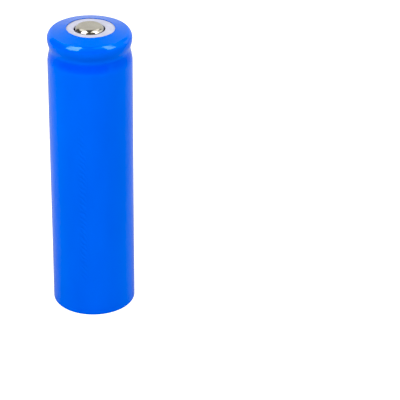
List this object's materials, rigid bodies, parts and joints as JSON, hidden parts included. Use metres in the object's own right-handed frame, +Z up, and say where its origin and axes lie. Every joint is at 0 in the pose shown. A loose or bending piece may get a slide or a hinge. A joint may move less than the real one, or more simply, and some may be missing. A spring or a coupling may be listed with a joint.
{
  "type": "cylindrical battery cell",
  "caption": "Round upright battery cell in a glossy shrink sleeve, with a raised metal button in a pale washer on top and a flat metal base.",
  "frame": {"origin": "centre of the flat base, on the plane that the cell stands on", "axes": "+Z up along the cell's axis, from the negative base to the positive button; the cell is round, so +X and +Y are free"},
  "size_m": [0.0184, 0.0184, 0.0666],
  "materials": {
    "sleeve_film": "gloss",
    "washer_paper": "matt",
    "can_nickel_plate": "satin",
    "cap_nickel_plate": "polished",
    "gasket_plastic": "satin",
    "ptc_compound": "matt",
    "header_aluminium": "satin",
    "interrupter_plastic": "satin",
    "insulator_fibre": "matt",
    "cathode_aluminium": "satin",
    "anode_copper": "satin",
    "tab_nickel": "satin",
    "cathode_oxide": "matt",
    "anode_graphite": "matt",
    "separator_film": "satin",
    "tape_film": "gloss",
    "pin_steel": "satin"
  },
  "bodies": {
    "cell": {"shrink_sleeve": "sleeve_film", "top_washer": "washer_paper", "steel_can": "can_nickel_plate", "positive_cap": "cap_nickel_plate", "crimp_gasket": "gasket_plastic", "ptc_ring": "ptc_compound", "vent_disc_rim": "header_aluminium", "interrupter_plate": "header_aluminium", "interrupter_insulator": "interrupter_plastic", "upper_insulator": "insulator_fibre", "lower_insulator": "insulator_fibre", "cathode_foil": "cathode_aluminium", "cathode_tab": "cathode_aluminium", "anode_foil": "anode_copper", "anode_tab": "tab_nickel", "cathode_coating_inner": "cathode_oxide", "cathode_coating_outer": "cathode_oxide", "anode_coating_inner": "anode_graphite", "anode_coating_outer": "anode_graphite", "separator_inner": "separator_film", "separator_outer": "separator_film", "roll_tape": "tape_film", "cathode_tab_tape": "tape_film", "centre_pin": "pin_steel"},
    "vent": {"vent_disc_centre": "header_aluminium"}
  },
  "joints": [
    {"name": "vent_trip", "type": "slide", "parent": "cell", "child": "vent", "axis": [0, 0, 1], "range_m": [0, 0.0006]}
  ]
}
